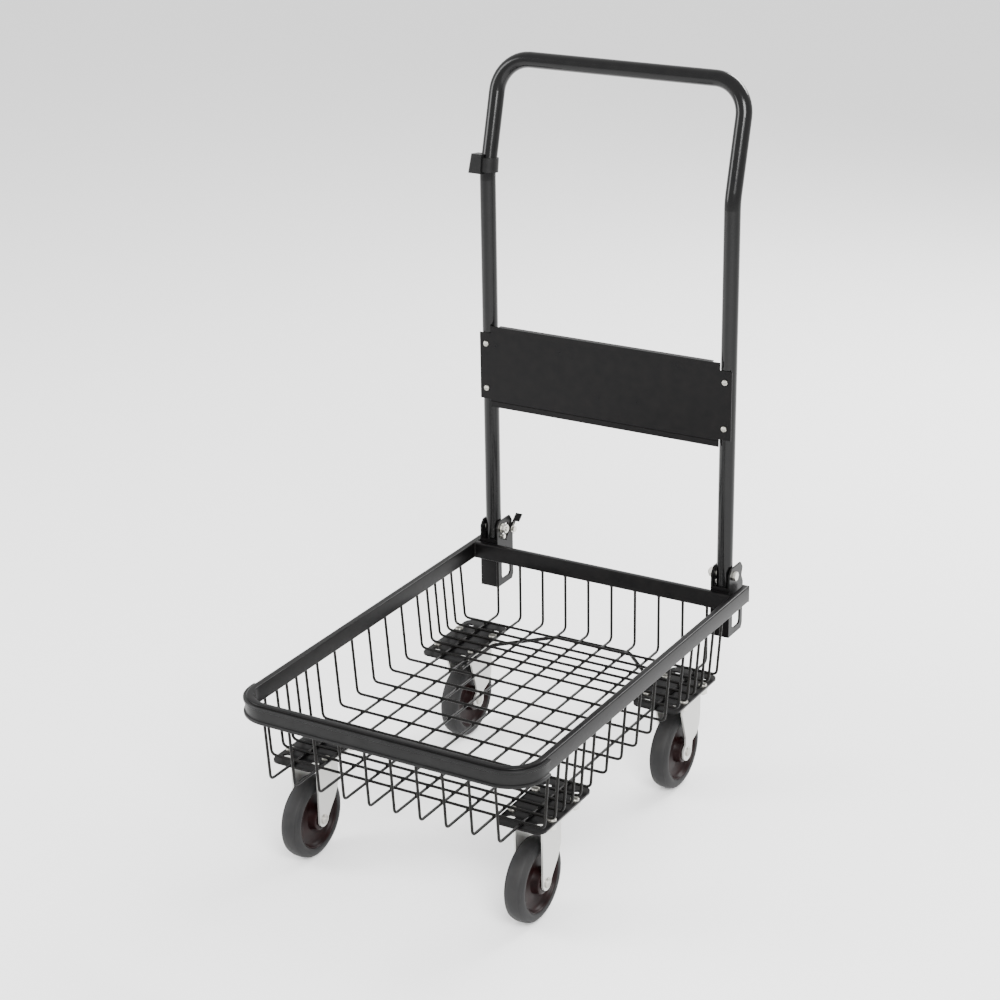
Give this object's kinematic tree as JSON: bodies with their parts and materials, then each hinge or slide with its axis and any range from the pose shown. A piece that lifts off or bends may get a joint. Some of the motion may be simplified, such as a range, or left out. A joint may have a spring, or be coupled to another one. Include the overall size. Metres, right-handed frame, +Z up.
{
  "type": "basket trolley",
  "caption": "Wire basket trolley on casters, with a folding tubular push handle, back panel and sprung handle latches.",
  "frame": {"origin": "on the floor, under the middle of the whole trolley", "axes": "+Z up, +Y towards the handle end, X across the trolley"},
  "size_m": [0.49, 0.7457, 1.087],
  "materials": {
    "satin_paint": "black powder coat, satin",
    "gloss_paint": "black paint, gloss",
    "coated_wire": "black coated wire, satin",
    "zinc_plate": "bright zinc plated pressed steel",
    "zinc_hardware": "zinc plated fasteners",
    "tyre_rubber": "matte rubber",
    "hub_plastic": "moulded, very dark",
    "bumper_rubber": "extruded rubber strip",
    "black_plastic": "moulded plastic"
  },
  "bodies": {
    "frame": {"axle_bolts_rear": "zinc_hardware", "axle_nuts_rear": "zinc_hardware", "axle_sleeves_rear": "zinc_hardware", "bracket_left": "satin_paint", "bracket_right": "satin_paint", "caster_bolts": "zinc_hardware", "caster_nuts": "zinc_hardware", "caster_plates_front": "zinc_plate", "caster_plates_rear": "zinc_plate", "corner_plate_front_left": "satin_paint", "corner_plate_front_right": "satin_paint", "corner_plate_rear_left": "satin_paint", "corner_plate_rear_right": "satin_paint", "floor_rod": "coated_wire", "floor_wires": "coated_wire", "fork_rear_left": "zinc_plate", "fork_rear_right": "zinc_plate", "front_bumper": "bumper_rubber", "front_wires": "coated_wire", "kingpins": "zinc_plate", "latch_pins": "zinc_hardware", "latch_springs": "zinc_hardware", "pivot_bolts": "zinc_hardware", "pivot_nuts": "zinc_hardware", "pivot_washers": "zinc_hardware", "race_cups": "zinc_plate", "rail_end_plugs": "black_plastic", "rear_rail": "satin_paint", "rear_wires": "coated_wire", "rim_hoop": "satin_paint", "side_wires_left": "coated_wire", "side_wires_right": "coated_wire"},
    "handle": {"handle_tube": "gloss_paint", "back_panel": "satin_paint", "panel_screws": "zinc_hardware", "handle_clip": "black_plastic", "post_plugs": "black_plastic", "pivot_sleeves": "zinc_hardware", "latch_studs": "zinc_hardware"},
    "latch_left": {"latch_lever_left": "satin_paint"},
    "latch_right": {"latch_lever_right": "satin_paint"},
    "fork_front_left": {"fork_front_left": "zinc_plate", "axle_bolt_front_left": "zinc_hardware", "axle_nut_front_left": "zinc_hardware", "axle_sleeve_front_left": "zinc_hardware", "swivel_balls_front_left": "zinc_hardware"},
    "wheel_front_left": {"tyre_front_left": "tyre_rubber", "hub_front_left": "hub_plastic"},
    "wheel_rear_left": {"tyre_rear_left": "tyre_rubber", "hub_rear_left": "hub_plastic"},
    "fork_front_right": {"fork_front_right": "zinc_plate", "axle_bolt_front_right": "zinc_hardware", "axle_nut_front_right": "zinc_hardware", "axle_sleeve_front_right": "zinc_hardware", "swivel_balls_front_right": "zinc_hardware"},
    "wheel_front_right": {"tyre_front_right": "tyre_rubber", "hub_front_right": "hub_plastic"},
    "wheel_rear_right": {"tyre_rear_right": "tyre_rubber", "hub_rear_right": "hub_plastic"}
  },
  "joints": [
    {"name": "handle_fold", "type": "hinge", "parent": "frame", "child": "handle", "pos_m": [0, 0.31494, 0.31205], "axis": [1, 0, 0], "range_deg": [0, 90]},
    {"name": "latch_left", "type": "hinge", "parent": "frame", "child": "latch_left", "pos_m": [-0.208, 0.33894, 0.30305], "axis": [1, 0, 0], "range_deg": [-22, 8]},
    {"name": "latch_right", "type": "hinge", "parent": "frame", "child": "latch_right", "pos_m": [0.208, 0.33894, 0.30305], "axis": [1, 0, 0], "range_deg": [-22, 8]},
    {"name": "swivel_front_left", "type": "hinge", "parent": "frame", "child": "fork_front_left", "pos_m": [-0.188, -0.22886, 0.15], "axis": [0, 0, 1], "continuous": true},
    {"name": "wheel_front_left_spin", "type": "hinge", "parent": "fork_front_left", "child": "wheel_front_left", "pos_m": [-0.188, -0.26186, 0.0625], "axis": [1, 0, 0], "continuous": true},
    {"name": "wheel_rear_left_spin", "type": "hinge", "parent": "frame", "child": "wheel_rear_left", "pos_m": [-0.188, 0.18514, 0.0625], "axis": [1, 0, 0], "continuous": true},
    {"name": "swivel_front_right", "type": "hinge", "parent": "frame", "child": "fork_front_right", "pos_m": [0.188, -0.22886, 0.15], "axis": [0, 0, 1], "continuous": true},
    {"name": "wheel_front_right_spin", "type": "hinge", "parent": "fork_front_right", "child": "wheel_front_right", "pos_m": [0.188, -0.26186, 0.0625], "axis": [1, 0, 0], "continuous": true},
    {"name": "wheel_rear_right_spin", "type": "hinge", "parent": "frame", "child": "wheel_rear_right", "pos_m": [0.188, 0.18514, 0.0625], "axis": [1, 0, 0], "continuous": true}
  ]
}
